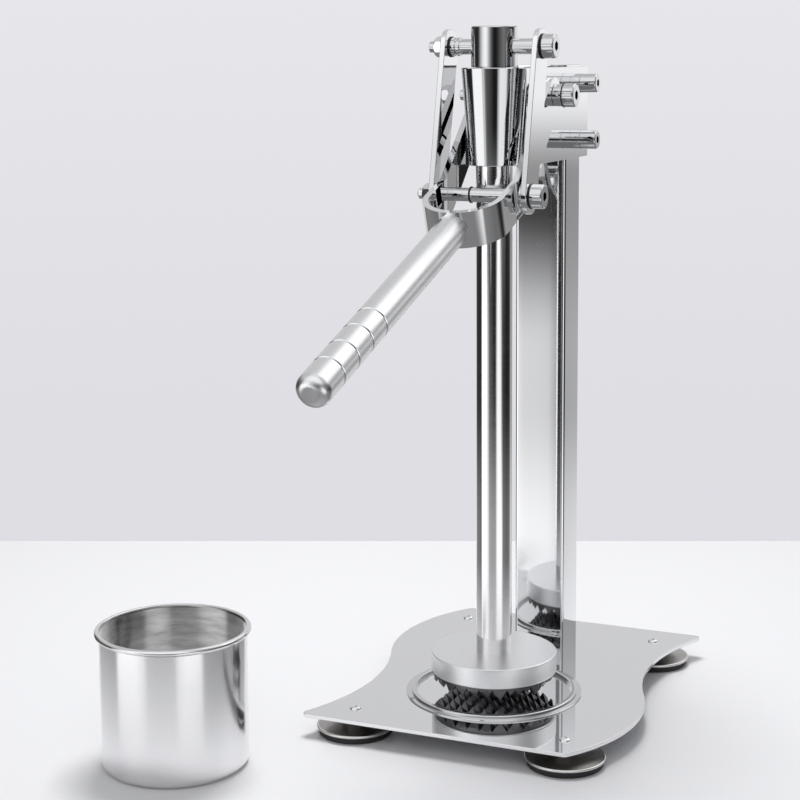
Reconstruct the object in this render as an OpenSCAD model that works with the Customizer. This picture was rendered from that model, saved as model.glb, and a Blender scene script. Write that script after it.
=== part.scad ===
// Hand lever press for cider apples and citrus fruit, with its loose pressing cup.
// Origin: centre of the cup seat, on the base plate's top face.
// X runs along the straight front edge, Y towards the column and Z up. All sizes are in millimetres.

/* [Base plate] */
// Thickness of the base plate
plate_t = 3; // [2:0.5:6]
// Straight front edge, in front of the cup seat
front_y = -96; // [-130:1:-90]
// Straight back edge, behind the cup seat
back_y = 179; // [165:1:260]
// Half width of the plate where its side is drawn in
waist_x = 92.4; // [86:0.2:110]
// How far each side swings out again past the waist
side_swing = 21.9; // [12:0.1:30]
// Radius of the hollow stretch of each side
hollow_r = 169; // [150:1:220]
// Radius of the bulging stretch of each side
bulge_r = 131; // [115:1:170]
// Where the left side is drawn in
waist_y = -14; // [-30:1:0]
// Rounding of the plate's corners
corner_r = 4; // [2:0.5:8]

/* [Feet] */
// Feet, to each side of the middle
foot_x = 79; // [70:1:84]
// Front feet
foot_front_y = -73; // [-80:1:-60]
// Back feet
foot_back_y = 152; // [120:1:154]
// Widest radius of a foot
foot_r = 28; // [20:0.5:34]
// Height of the metal part of a foot
foot_h = 9.5; // [7:0.5:16]
// Height of the rubber pad under a foot
pad_h = 4.5; // [2:0.5:8]
// Radius of the screws that hold the feet
foot_screw_r = 2; // [1.5:0.25:3]

/* [Cup seat] */
// Inner wall of the seat ring, which the cup stands in
seat_r = 57; // [54:0.5:62]
// Height of the seat ring's bead
seat_h = 3; // [2:0.5:6]
// Width of the bead
seat_bead_w = 4; // [3:0.5:6]
// Width of the thin flange outside the bead
seat_flange_w = 3.8; // [3:0.2:8]
// Thickness of the flange
seat_flange_t = 1; // [0.6:0.2:1.6]

/* [Column] */
// Width of the square column
column_w = 40; // [30:1:56]
// Depth of the column
column_d = 36; // [28:1:60]
// Front face of the column
column_y = 101; // [75:1:115]
// Top of the column
column_top = 457.5; // [380:1:600]
// Wall of the column
column_wall = 2; // [1.5:0.5:4]
// Rounding of the column's long edges
column_edge_r = 2.5; // [1:0.5:4]

/* [Head] */
// Height of the head plates
head_h = 69; // [60:1:90]
// Top of the column to the top of the head plates
head_drop = 1.5; // [0:0.5:4]
// Thickness of a head plate
head_t = 3; // [2:0.5:5]
// How far the head plates run past the back of the column
head_overhang = 9; // [4:1:20]
// Radius of the guide sleeve at its top
sleeve_top_r = 23.3; // [21:0.1:24]
// Radius of the guide sleeve at its foot
sleeve_foot_r = 18; // [16.5:0.1:22]
// Thickness of the guide bush in the sleeve
bush_t = 1.9; // [1:0.1:2.5]

/* [Press rod] */
// Radius of the press rod
rod_r = 13; // [10:0.5:14]
// Radius of the cap on top of the rod
cap_r = 16.4; // [15:0.2:20]
// Height of the cap
cap_h = 28.6; // [24:0.2:40]
// Radius of the press plate
press_r = 46; // [36:0.5:48]
// Thickness of the press plate
press_t = 14.3; // [8:0.1:20]
// Gap between the points of the crusher teeth and the base plate, with the lever down
press_gap = 7.5; // [4:0.5:20]
// Spacing of the crusher teeth
tooth_pitch = 9.5; // [7:0.5:14]
// Height of a crusher tooth
tooth_h = 8; // [4:0.5:10]

/* [Lever] */
// Fulcrum, behind the rod's axis
fulcrum_y = 48.5; // [44:0.5:60]
// Fulcrum, below the top of the head plates
fulcrum_drop = 20; // [16:1:24]
// Lower pin, in front of the rod's axis
lower_pin_y = -23; // [-30:0.5:-21]
// Lower pin, below the fulcrum
lower_pin_drop = 67.7; // [60:0.1:80]
// Width of the flat bar of the yoke
yoke_w = 26; // [20:0.5:30]
// Thickness of the flat bar of the yoke
yoke_t = 4.3; // [3:0.1:6]
// Gap between a head plate and the yoke's arm beside it
yoke_gap = 1.7; // [1.2:0.1:4]
// Lower pin to the centre of the yoke's bend
yoke_reach = 33; // [25:1:60]
// Slope of the handle and of the front of the yoke, with the lever down
handle_slope = 18.5; // [10:0.5:30]
// Radius of the handle
handle_r = 11.25; // [9:0.25:12.5]
// Length of the handle
handle_l = 230; // [150:1:320]
// Length of the handle's separate end piece
handle_end_l = 25; // [20:1:30]
// Spacing of the grip grooves
groove_pitch = 21.3; // [15:0.1:30]

/* [Links] */
// Width of a link
link_w = 25; // [20:0.5:28]
// Thickness of a link
link_t = 4; // [3:0.5:6]
// Gap between a link and the yoke's arm beside it
link_gap = 3.2; // [2.8:0.1:7]

/* [Pins and bolts] */
// Radius of every shank
pin_r = 4; // [3:0.25:5]
// Radius of the lever's bolt heads
bolt_head_r = 8.5; // [7:0.25:10]
// Length of the lever's bolt heads
bolt_head_l = 8.8; // [6:0.2:12]
// Radius of the bolt heads that clamp the head plates to the column
clamp_head_r = 7; // [6:0.25:9]
// Thickness of a hexagon nut
nut_h = 6.5; // [4:0.5:8]
// Thickness of the black washers
washer_t = 0.8; // [0.5:0.1:1.5]
// Radius of the cross bar between the yoke's arms
cross_bar_r = 5.25; // [4.5:0.25:7]
// Radius of the spacer tubes on the top pin
spacer_r = 5.5; // [4.5:0.25:7]

/* [Pressing cup] */
// Radius of the cup's wall
cup_r = 50.5; // [47:0.5:53]
// Height of the cup
cup_h = 97; // [60:1:100]
// Wall of the cup
cup_wall = 1; // [0.6:0.1:2]
// Radius of the rolled rim's bead
rim_r = 2; // [1.2:0.1:3]
// Rounding of the cup's foot
cup_foot_r = 6; // [3:0.5:10]
// Where the cup stands beside the press
cup_place = [-170, -172];

/* [Clearances] */
// Around a turning pin
pin_play = 0.05; // [0.02:0.01:0.1]
// Around the sliding rod
rod_play = 0.08; // [0.03:0.01:0.1]
// Between faces that move past each other
face_play = 0.2; // [0.1:0.05:0.4]
// Between the cap and the sleeve it comes down on
stop_play = 0.3; // [0.2:0.05:0.5]

/* [Hidden] */

// Colours of the metals, the rubber and the washers
mirror_steel = [0.80, 0.81, 0.83];
satin_steel = [0.70, 0.71, 0.73];
satin_aluminium = [0.76, 0.77, 0.78];
nickel = [0.52, 0.51, 0.50];
rubber = [0.06, 0.06, 0.06];
nylon = [0.05, 0.05, 0.06];
$fn = 96;

// Base plate: each side is a hollow arc that runs smoothly into a bulging arc
arc_sum = hollow_r + bulge_r;
hollow_c = [-waist_x - hollow_r, waist_y];
bulge_c = [-waist_x - side_swing + bulge_r,
           waist_y + sqrt(arc_sum * arc_sum - (arc_sum - side_swing) * (arc_sum - side_swing))];
tip_y = front_y + corner_r;
tip_c = [hollow_c[0] + sqrt(pow(hollow_r + corner_r, 2) - pow(tip_y - hollow_c[1], 2)), tip_y];
heel_y = back_y - corner_r;
heel_c = [bulge_c[0] - sqrt(pow(bulge_r - corner_r, 2) - pow(heel_y - bulge_c[1], 2)), heel_y];
mid_y = (front_y + back_y) / 2;
arc_step = 1.5;

// Feet and floor
floor_z = -plate_t - foot_h - pad_h;
foot_places = [[-foot_x, foot_front_y], [foot_x, foot_front_y], [-foot_x, foot_back_y], [foot_x, foot_back_y]];
foot_boss_r = 10;
foot_rim_h = 2;
foot_screw_l = plate_t + foot_h - 4;

// Column and head
cap_plate_t = 2;
column_mid_y = column_y + column_d / 2;
head_top = column_top - head_drop;
head_foot = head_top - head_h;
head_back_y = column_y + column_d + head_overhang;
head_front_y = 3;
plate_in_x = column_w / 2;
plate_out_x = plate_in_x + head_t;
sleeve_h = head_h - 0.4;
sleeve_foot = head_foot + 0.9;
sleeve_top = sleeve_foot + sleeve_h;
bush_in_r = rod_r + rod_play;
bush_out_r = bush_in_r + bush_t;
saddle_back_y = 30;
clamp_y = column_y + 7;
clamp_zs = [head_top - 12.3, head_foot + 14.3];
clamp_reach = 20;
clamp_face_x = plate_out_x + clamp_reach;
clamp_collar_l = 7.5;

// Pins of the lever: fulcrum, lower pin and top pin
fulcrum_z = head_top - fulcrum_drop;
lower_pin_z = fulcrum_z - lower_pin_drop;
arm_slope = atan2(lower_pin_drop, fulcrum_y - lower_pin_y);
cap_z = sleeve_top + stop_play;
top_pin_z = cap_z + cap_h / 2;
link_slope = atan2(-lower_pin_y, top_pin_z - lower_pin_z);
link_l = norm([lower_pin_y, top_pin_z - lower_pin_z]);
yoke_in_r = plate_out_x + yoke_gap;
yoke_r = yoke_in_r + yoke_t;
link_x = yoke_r + link_gap;
link_out_x = link_x + link_t;
yoke_lap = yoke_w / 2 + 2;
collar_r = bolt_head_r - 0.5;
washer_r = bolt_head_r + 0.3;
thread_l = 4.5;

// Rod and press plate
tooth_root_t = 1.5;
crusher_z = press_gap;
press_z = crusher_z + tooth_h + tooth_root_t;
rod_z = press_z + press_t;
crusher_r = press_r - 2;
spigot_r = 6;
spigot_l = 6;

// Handle
groove_count = 4;
groove_w = 2.2;
groove_depth = 0.6;
handle_root = yoke_reach + yoke_r;

// ---- Shared shapes ----

// Points of an arc from angle a to angle b, both included
function arc(c, r, a, b, step = arc_step) =
    let (n = max(2, ceil(abs(b - a) / step)))
    [for (i = [0:n]) c + r * [cos(a + (b - a) * i / n), sin(a + (b - a) * i / n)]];

// Direction from one point to another
function heading(p, q) = atan2(q[1] - p[1], q[0] - p[0]);

// A point turned half a turn about the middle of the base plate
function opposite(p) = [-p[0], 2 * mid_y - p[1]];

// Rectangle with round corners, centred
module rounded_rect(w, d, r) {
    square([w - 2 * r, d], center = true);
    square([w, d - 2 * r], center = true);
    for (sx = [-1, 1], sy = [-1, 1])
        translate([sx * (w / 2 - r), sy * (d / 2 - r)]) circle(r);
}

// Children drawn upwards are laid along X, outwards to the given side
module along_x(side, x, y, z) {
    translate([side * x, y, z]) rotate([0, side * 90, 0]) children();
}

// A flat outline drawn with Y across and Z up becomes a plate that starts at x
module side_view(x, thickness) {
    translate([x, 0, 0]) rotate([90, 0, 90]) linear_extrude(thickness) children();
}

// Round bar with a chamfer at its far end
module chamfered(r, h, c) {
    cylinder(r = r, h = h - c);
    translate([0, 0, h - c]) cylinder(r1 = r, r2 = r - c, h = c);
}

// Round head with a hexagon socket
module socket_head(r, h) {
    difference() {
        chamfered(r, h, 0.8);
        translate([0, 0, h - 4.5]) cylinder(r = r * 0.42, h = 5, $fn = 6);
    }
}

// Flat ring around a shank
module ring(r_out, r_in, h) {
    difference() {
        cylinder(r = r_out, h = h);
        translate([0, 0, -1]) cylinder(r = r_in, h = h + 2);
    }
}

// Hexagon nut with its flanks rounded off at both ends
module hex_nut(r_in) {
    across = 6.5;
    difference() {
        intersection() {
            cylinder(r = across / cos(30), h = nut_h, $fn = 6);
            union() {
                translate([0, 0, nut_h / 2]) cylinder(r1 = across + 2.2, r2 = across, h = nut_h / 2);
                cylinder(r1 = across, r2 = across + 2.2, h = nut_h / 2);
            }
        }
        translate([0, 0, -1]) cylinder(r = r_in, h = nut_h + 2);
    }
}

// Bore along X through everything
module bore_x(r, y, z) {
    translate([-80, y, z]) rotate([0, 90, 0]) cylinder(r = r, h = 160);
}

// Outside of the tapered sleeve, grown by a gap
module sleeve_cone(gap = 0) {
    translate([0, 0, sleeve_foot]) cylinder(r1 = sleeve_foot_r + gap, r2 = sleeve_top_r + gap, h = sleeve_h);
}

// ---- Base ----

module plate_outline() {
    a_tip = heading(hollow_c, tip_c);
    a_join = heading(hollow_c, bulge_c);
    a_heel = heading(bulge_c, heel_c);
    side = concat(
        arc(tip_c, corner_r, 270, 180 + a_tip, 12),
        arc(hollow_c, hollow_r, a_tip, a_join),
        arc(bulge_c, bulge_r, a_join + 180, a_heel),
        arc(heel_c, corner_r, a_heel, 90, 12));
    polygon(concat(side, [for (p = side) opposite(p)]));
}

module base_plate() color(mirror_steel) difference() {
    translate([0, 0, -plate_t]) linear_extrude(plate_t) plate_outline();
    for (p = foot_places)
        translate([p[0], p[1], -plate_t - 1]) cylinder(r = foot_screw_r + pin_play, h = plate_t + 2);
}

module seat_ring() color(mirror_steel) rotate_extrude($fn = 180) {
    edge = 0.9;
    translate([seat_r, 0]) square([seat_bead_w + seat_flange_w, seat_flange_t]);
    translate([seat_r, 0]) square([seat_bead_w, seat_h - edge]);
    translate([seat_r + edge, 0]) square([seat_bead_w - 2 * edge, seat_h]);
    for (x = [edge, seat_bead_w - edge]) translate([seat_r + x, seat_h - edge]) circle(edge, $fn = 24);
}

module seat_rivet() color(satin_steel) {
    rivet_r = 1.3;
    at_r = seat_r + seat_bead_w + seat_flange_w / 2;
    rotate([0, 0, 220]) translate([at_r, 0, seat_flange_t]) chamfered(rivet_r, 0.9, 0.4);
}

module foot(i) color(nickel) translate([foot_places[i][0], foot_places[i][1], -plate_t]) difference() {
    rotate_extrude() polygon([
        [0, 0], [foot_boss_r - 0.6, 0], [foot_boss_r, -0.6], [foot_boss_r, -foot_h * 0.35],
        [foot_boss_r + 2, -foot_h * 0.42], [foot_r - 1.6, -foot_h + foot_rim_h], [foot_r - 0.5, -foot_h + foot_rim_h],
        [foot_r, -foot_h + foot_rim_h - 0.5], [foot_r, -foot_h + 0.4], [foot_r - 0.4, -foot_h], [0, -foot_h]]);
    translate([0, 0, plate_t - foot_screw_l - 1]) cylinder(r = foot_screw_r + pin_play, h = foot_screw_l);
}

module foot_pad(i) color(rubber) translate([foot_places[i][0], foot_places[i][1], floor_z]) {
    cylinder(r1 = foot_r - 2.5, r2 = foot_r - 1.5, h = 1);
    translate([0, 0, 1]) cylinder(r = foot_r - 1.5, h = pad_h - 1);
}

module foot_screw(i) color(mirror_steel) translate([foot_places[i][0], foot_places[i][1], 0]) {
    head_r = foot_screw_r * 2;
    head_h = foot_screw_r * 0.9;
    difference() {
        chamfered(head_r, head_h, 0.5);
        translate([0, 0, head_h - 1]) cylinder(r = foot_screw_r * 0.65, h = 2, $fn = 6);
    }
    translate([0, 0, -foot_screw_l]) cylinder(r = foot_screw_r, h = foot_screw_l);
}

// ---- Column and head ----

module column() color(mirror_steel) difference() {
    translate([0, column_mid_y, 0]) linear_extrude(column_top - cap_plate_t) difference() {
        rounded_rect(column_w, column_d, column_edge_r);
        square([column_w - 2 * column_wall, column_d - 2 * column_wall], center = true);
    }
    for (z = clamp_zs) bore_x(pin_r + pin_play, clamp_y, z);
}

module column_cap() color(mirror_steel) translate([0, column_mid_y, column_top - cap_plate_t])
    linear_extrude(cap_plate_t) rounded_rect(column_w, column_d, column_edge_r);

module head_plate(side) color(mirror_steel) difference() {
    translate([side > 0 ? plate_in_x : -plate_out_x, head_front_y, head_foot])
        cube([head_t, head_back_y - head_front_y, head_h]);
    sleeve_cone();
    bore_x(pin_r + pin_play, fulcrum_y, fulcrum_z);
    for (z = clamp_zs) bore_x(pin_r + pin_play, clamp_y, z);
}

module saddle() color(satin_steel) difference() {
    translate([-plate_in_x, head_front_y, head_foot]) cube([2 * plate_in_x, saddle_back_y - head_front_y, head_h]);
    sleeve_cone();
    translate([0, 0, head_foot - 1]) cylinder(r = sleeve_foot_r, h = head_h + 2);
    translate([0, 0, sleeve_top - 0.1]) cylinder(r = sleeve_top_r, h = head_h);
}

module sleeve() color(mirror_steel) difference() {
    sleeve_cone();
    translate([0, 0, sleeve_foot - 1]) cylinder(r = bush_out_r, h = sleeve_h + 2);
}

module guide_bush() color(nylon) translate([0, 0, sleeve_foot]) ring(bush_out_r, bush_in_r, sleeve_h);

// Clamp bolt: head and collar on the right, nut on the left
module clamp_bolt(i) color(mirror_steel) along_x(1, 0, clamp_y, clamp_zs[i]) {
    seat_x = plate_out_x + clamp_collar_l;
    translate([0, 0, seat_x]) socket_head(clamp_head_r, clamp_face_x - seat_x);
    translate([0, 0, -plate_out_x - nut_h - thread_l]) cylinder(r = pin_r, h = plate_out_x + nut_h + thread_l + seat_x);
}

module clamp_collar(i) color(mirror_steel) along_x(1, plate_out_x, clamp_y, clamp_zs[i]) {
    difference() {
        union() {
            cylinder(r = clamp_head_r, h = clamp_collar_l);
            translate([0, 0, clamp_collar_l - washer_t]) cylinder(r = clamp_head_r + 0.3, h = washer_t);
        }
        translate([0, 0, -1]) cylinder(r = pin_r + pin_play, h = clamp_collar_l + 2);
    }
}

module clamp_nut(i) color(mirror_steel) along_x(-1, plate_out_x, clamp_y, clamp_zs[i]) hex_nut(pin_r + pin_play);

// Fulcrum bolt, fixed in the head plates; the yoke turns on it
fulcrum_right_l = 6.4;
fulcrum_left_l = 3.6;
fulcrum_collar_x = yoke_r + face_play;

module fulcrum_bolt() color(mirror_steel) along_x(1, 0, fulcrum_y, fulcrum_z) {
    seat_x = fulcrum_collar_x + fulcrum_right_l + washer_t;
    end_x = fulcrum_collar_x + fulcrum_left_l + nut_h + thread_l;
    translate([0, 0, seat_x]) socket_head(bolt_head_r, bolt_head_l);
    translate([0, 0, -end_x]) cylinder(r = pin_r, h = end_x + seat_x);
}

module fulcrum_collar_right() color(mirror_steel)
    along_x(1, fulcrum_collar_x, fulcrum_y, fulcrum_z) ring(collar_r, pin_r + pin_play, fulcrum_right_l);

module fulcrum_collar_left() color(mirror_steel)
    along_x(-1, fulcrum_collar_x, fulcrum_y, fulcrum_z) ring(collar_r, pin_r + pin_play, fulcrum_left_l);

module fulcrum_nut() color(mirror_steel)
    along_x(-1, fulcrum_collar_x + fulcrum_left_l, fulcrum_y, fulcrum_z) hex_nut(pin_r + pin_play);

// One black washer under the bolt head, and one between each head plate and the yoke
module fulcrum_washers() color(nylon) {
    inner_l = yoke_in_r - face_play - plate_out_x;
    along_x(1, fulcrum_collar_x + fulcrum_right_l, fulcrum_y, fulcrum_z) ring(washer_r, pin_r + pin_play, washer_t);
    for (side = [-1, 1])
        along_x(side, plate_out_x, fulcrum_y, fulcrum_z) ring(collar_r, pin_r + pin_play, inner_l);
}

// ---- Lever ----

// Children are drawn along -Y and laid along the front of the yoke, from the lower pin
module along_lever() {
    translate([0, lower_pin_y, lower_pin_z]) rotate([handle_slope, 0, 0]) children();
}

// Point of the yoke's edge beside p, above or below the middle of the bar
function yoke_edge(p, slope, half_w) = p + half_w * [-sin(slope), cos(slope)];

// Side view of an arm, Y across and Z up: round at the fulcrum, cranked at the lower pin
module arm_outline() {
    fulcrum = [fulcrum_y, fulcrum_z];
    lower_pin = [lower_pin_y, lower_pin_z];
    front = lower_pin - yoke_lap * [cos(handle_slope), sin(handle_slope)];
    half_w = yoke_w / 2;
    crank_slope = (arm_slope + handle_slope) / 2;
    crank_w = half_w / cos((arm_slope - handle_slope) / 2);
    translate(fulcrum) circle(half_w);
    polygon([
        yoke_edge(fulcrum, arm_slope, half_w), yoke_edge(lower_pin, crank_slope, crank_w),
        yoke_edge(front, handle_slope, half_w), yoke_edge(front, handle_slope, -half_w),
        yoke_edge(lower_pin, crank_slope, -crank_w), yoke_edge(fulcrum, arm_slope, -half_w)]);
}

// The bend and the straight stretches next to it, seen from above
module bend_outline() {
    difference() {
        union() {
            translate([0, -yoke_reach]) circle(yoke_r);
            translate([-yoke_r, -yoke_reach]) square([2 * yoke_r, yoke_reach - yoke_lap]);
        }
        translate([0, -yoke_reach]) circle(yoke_in_r);
        translate([-yoke_in_r, -yoke_reach]) square([2 * yoke_in_r, yoke_reach]);
    }
}

module yoke() color(mirror_steel) difference() {
    union() {
        for (x = [-yoke_r, yoke_in_r]) side_view(x, yoke_t) arm_outline();
        along_lever() translate([0, 0, -yoke_w / 2]) linear_extrude(yoke_w) bend_outline();
    }
    bore_x(pin_r + pin_play, fulcrum_y, fulcrum_z);
    bore_x(pin_r + pin_play, lower_pin_y, lower_pin_z);
    along_lever() translate([0, -yoke_reach, 0]) rotate([90, 0, 0])
        cylinder(r = handle_screw_r + pin_play, h = yoke_r + 5);
}

// Cross bar between the arms, with shanks that carry the collars outside them
bar_end_x = yoke_in_r;
bar_ring_x = -9;
bar_ring_w = 1.2;
lower_stack_x = link_x - face_play;

module cross_bar() color(mirror_steel) translate([0, lower_pin_y, lower_pin_z]) rotate([0, 90, 0]) {
    groove_r = cross_bar_r - 0.7;
    translate([0, 0, -lower_stack_x]) cylinder(r = pin_r, h = 2 * lower_stack_x);
    translate([0, 0, -bar_end_x]) cylinder(r = cross_bar_r - 0.4, h = bar_end_x + bar_ring_x);
    translate([0, 0, bar_ring_x]) cylinder(r = groove_r, h = bar_ring_w);
    translate([0, 0, bar_ring_x + bar_ring_w]) cylinder(r = cross_bar_r, h = bar_end_x - bar_ring_x - bar_ring_w);
}

module cross_bar_ring() color(nylon) translate([bar_ring_x, lower_pin_y, lower_pin_z]) rotate([0, 90, 0])
    ring(cross_bar_r + 0.6, cross_bar_r - 0.7, bar_ring_w);

module lower_collars() color(mirror_steel) for (side = [-1, 1])
    along_x(side, yoke_r, lower_pin_y, lower_pin_z)
        ring(collar_r, pin_r + pin_play, lower_stack_x - washer_t - yoke_r);

module lower_washers() color(nylon) for (side = [-1, 1])
    along_x(side, lower_stack_x - washer_t, lower_pin_y, lower_pin_z) ring(washer_r, pin_r + pin_play, washer_t);

// Handle, drawn upwards from the centre of the yoke's bend
handle_screw_r = 3;

module along_handle() {
    along_lever() translate([0, -yoke_reach, 0]) rotate([90, 0, 0]) children();
}

function groove_z(i) = yoke_r + handle_l - handle_end_l - i * groove_pitch;

module handle() color(satin_aluminium) along_handle() difference() {
    body_top = yoke_r + handle_l - handle_end_l;
    cylinder(r = handle_r, h = body_top);
    translate([0, 0, -50]) cylinder(r = handle_screw_r + pin_play, h = 50 + yoke_r + 22);
    rotate([90, 0, 0]) translate([0, 0, -50]) cylinder(r = yoke_r, h = 100);
    for (i = [0:groove_count - 1]) translate([0, 0, groove_z(i) - groove_w / 2])
        ring(handle_r + 1, handle_r - groove_depth, groove_w);
}

module handle_end() color(satin_aluminium) along_handle() translate([0, 0, yoke_r + handle_l - handle_end_l])
    rotate_extrude() {
        dome_r = handle_r * 0.62;
        translate([0, groove_w / 2]) square([handle_r, handle_end_l - dome_r - groove_w / 2]);
        square([handle_r - groove_depth, handle_end_l - dome_r]);
        square([handle_r - dome_r, handle_end_l]);
        intersection() {
            translate([handle_r - dome_r, handle_end_l - dome_r]) circle(dome_r);
            translate([0, handle_end_l - dome_r]) square([handle_r, dome_r]);
        }
    }

// Button-head screw that holds the handle from inside the yoke's bend
module handle_screw() color(mirror_steel) along_handle() {
    head_r = handle_screw_r * 1.8;
    head_h = 3;
    sag = yoke_in_r - sqrt(yoke_in_r * yoke_in_r - head_r * head_r);
    seat_z = yoke_in_r - sag;
    translate([0, 0, seat_z]) mirror([0, 0, 1]) difference() {
        chamfered(head_r, head_h, 0.8);
        translate([0, 0, head_h - 1.6]) cylinder(r = handle_screw_r * 0.65, h = 2, $fn = 6);
    }
    translate([0, 0, seat_z]) cylinder(r = handle_screw_r, h = yoke_t + sag + 20);
}

// ---- Links ----

module link_outline() {
    translate([lower_pin_y, lower_pin_z]) circle(link_w / 2);
    translate([0, top_pin_z]) circle(link_w / 2);
    translate([lower_pin_y, lower_pin_z]) rotate(-link_slope) translate([-link_w / 2, 0]) square([link_w, link_l]);
}

module link(side) color(mirror_steel) difference() {
    side_view(side > 0 ? link_x : -link_out_x, link_t) link_outline();
    bore_x(pin_r + pin_play, lower_pin_y, lower_pin_z);
    bore_x(pin_r + pin_play, 0, top_pin_z);
}

module link_bolt() color(mirror_steel) along_x(1, link_x, lower_pin_y, lower_pin_z) {
    cylinder(r = pin_r, h = link_t + washer_t);
    translate([0, 0, link_t + washer_t]) socket_head(bolt_head_r, bolt_head_l);
}

module link_washers() color(nylon) for (side = [-1, 1])
    along_x(side, link_out_x, lower_pin_y, lower_pin_z) ring(washer_r, pin_r + pin_play, washer_t);

module link_nut() color(mirror_steel) along_x(-1, link_x, lower_pin_y, lower_pin_z) {
    cylinder(r = pin_r, h = link_t + washer_t + nut_h + thread_l - 0.8);
    translate([0, 0, link_t + washer_t + nut_h + thread_l - 0.8]) cylinder(r1 = pin_r, r2 = pin_r - 0.8, h = 0.8);
    translate([0, 0, link_t + washer_t]) hex_nut(pin_r - 0.5);
}

// ---- Rod ----

module rod() color(mirror_steel) {
    translate([0, 0, rod_z]) cylinder(r = rod_r, h = cap_z - rod_z);
    translate([0, 0, rod_z - spigot_l]) cylinder(r = spigot_r, h = spigot_l);
}

module cap() color(mirror_steel) difference() {
    translate([0, 0, cap_z]) chamfered(cap_r, cap_h, 0.6);
    bore_x(pin_r + pin_play, 0, top_pin_z);
}

module press_plate() color(satin_aluminium) difference() {
    edge = 0.8;
    translate([0, 0, press_z]) {
        cylinder(r1 = press_r - edge, r2 = press_r, h = edge);
        translate([0, 0, edge]) chamfered(press_r, press_t - edge, edge);
    }
    translate([0, 0, rod_z - spigot_l]) cylinder(r = spigot_r, h = spigot_l + 1);
}

// Saw-tooth strip; two of them crossed leave a grid of four-sided points
module tooth_rows() {
    n = ceil(crusher_r / tooth_pitch);
    rotate([90, 0, 0]) linear_extrude(4 * crusher_r, center = true) polygon(concat(
        [[-(n + 0.5) * tooth_pitch, tooth_h + tooth_root_t]],
        [for (i = [-n:n]) each [[(i - 0.5) * tooth_pitch, tooth_h], [i * tooth_pitch, 0]]],
        [[(n + 0.5) * tooth_pitch, tooth_h], [(n + 0.5) * tooth_pitch, tooth_h + tooth_root_t]]));
}

module crusher() color(satin_steel) translate([0, 0, crusher_z]) intersection() {
    tooth_rows();
    rotate([0, 0, 90]) tooth_rows();
    cylinder(r = crusher_r, h = tooth_h + tooth_root_t);
}

// Top pin through the cap, with the nut on the left
module top_pin() color(mirror_steel) along_x(1, 0, 0, top_pin_z) {
    seat_x = link_out_x + face_play + washer_t;
    end_x = seat_x + nut_h + thread_l;
    translate([0, 0, seat_x]) socket_head(bolt_head_r, bolt_head_l);
    translate([0, 0, -end_x]) cylinder(r = pin_r, h = end_x + seat_x);
}

module top_nut() color(mirror_steel)
    along_x(-1, link_out_x + face_play + washer_t, 0, top_pin_z) hex_nut(pin_r + pin_play);

module top_spacers() color(mirror_steel) difference() {
    stack_x = link_x - face_play - washer_t;
    union() {
        for (side = [-1, 1]) along_x(side, cap_r - 5, 0, top_pin_z) cylinder(r = spacer_r, h = stack_x - cap_r + 5);
        along_x(-1, stack_x - 6.5, 0, top_pin_z) cylinder(r = spacer_r + 1.1, h = 2.2);
        along_x(-1, stack_x - 3, 0, top_pin_z) cylinder(r = spacer_r + 1.1, h = 3);
    }
    translate([0, 0, cap_z - 1]) cylinder(r = cap_r, h = cap_h + 2);
    bore_x(pin_r + pin_play, 0, top_pin_z);
}

module top_washers() color(nylon) for (side = [-1, 1]) {
    along_x(side, link_x - face_play - washer_t, 0, top_pin_z) ring(washer_r - 1.5, pin_r + pin_play, washer_t);
    along_x(side, link_out_x + face_play, 0, top_pin_z) ring(washer_r, pin_r + pin_play, washer_t);
}

// ---- Pressing cup ----

// Half section of the cup's shell: the foot's round corner, the wall and the floor
module cup_section() {
    in_r = cup_foot_r - cup_wall;
    polygon(concat(
        [[0, 0]],
        arc([cup_r - cup_foot_r, cup_foot_r], cup_foot_r, 270, 360, 6),
        [[cup_r, cup_h - rim_r], [cup_r - cup_wall, cup_h - rim_r]],
        arc([cup_r - cup_foot_r, cup_foot_r], in_r, 360, 270, 6),
        [[0, cup_wall]]));
    translate([cup_r - cup_wall + rim_r, cup_h - rim_r]) circle(rim_r, $fn = 48);
}

module cup() color(satin_steel) translate([cup_place[0], cup_place[1], floor_z]) rotate_extrude($fn = 180) cup_section();

// ---- Nodes ----

base_plate();
seat_ring();
seat_rivet();
column();
column_cap();
head_plate(-1);  // head_plate_left
head_plate(1);  // head_plate_right
saddle();
sleeve();
guide_bush();
clamp_bolt(0);  // clamp_bolt_upper
clamp_bolt(1);  // clamp_bolt_lower
clamp_nut(0);  // clamp_nut_upper
clamp_nut(1);  // clamp_nut_lower
clamp_collar(0);  // clamp_collar_upper
clamp_collar(1);  // clamp_collar_lower
fulcrum_bolt();
fulcrum_nut();
fulcrum_collar_left();
fulcrum_collar_right();
fulcrum_washers();
for (i = [1:4]) {
    foot(i - 1);
    foot_pad(i - 1);
    foot_screw(i - 1);
}
yoke();
cross_bar();
cross_bar_ring();
lower_collars();
lower_washers();
handle();
handle_end();
handle_screw();
link(-1);  // link_left
link(1);  // link_right
link_bolt();
link_nut();
link_washers();
rod();
cap();
press_plate();
crusher();
top_pin();
top_nut();
top_spacers();
top_washers();
cup();
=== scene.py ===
# %% [markdown]
# # A hand lever press with its loose cup, in Blender
#
# The press is made of polished stainless steel. A lever with a forked end pulls a round rod down through a
# sleeve, and a toothed plate under the rod crushes cider apples or citrus fruit in a steel cup.
# Polished steel has almost no colour of its own. It shows what stands round it, so this lesson spends as
# much care on the studio as on the metal. All sizes are in metres, and Z points up.

# %% Load the measured model
import math
import bmesh
import bpy
from mathutils import Matrix, Quaternion, Vector


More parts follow.
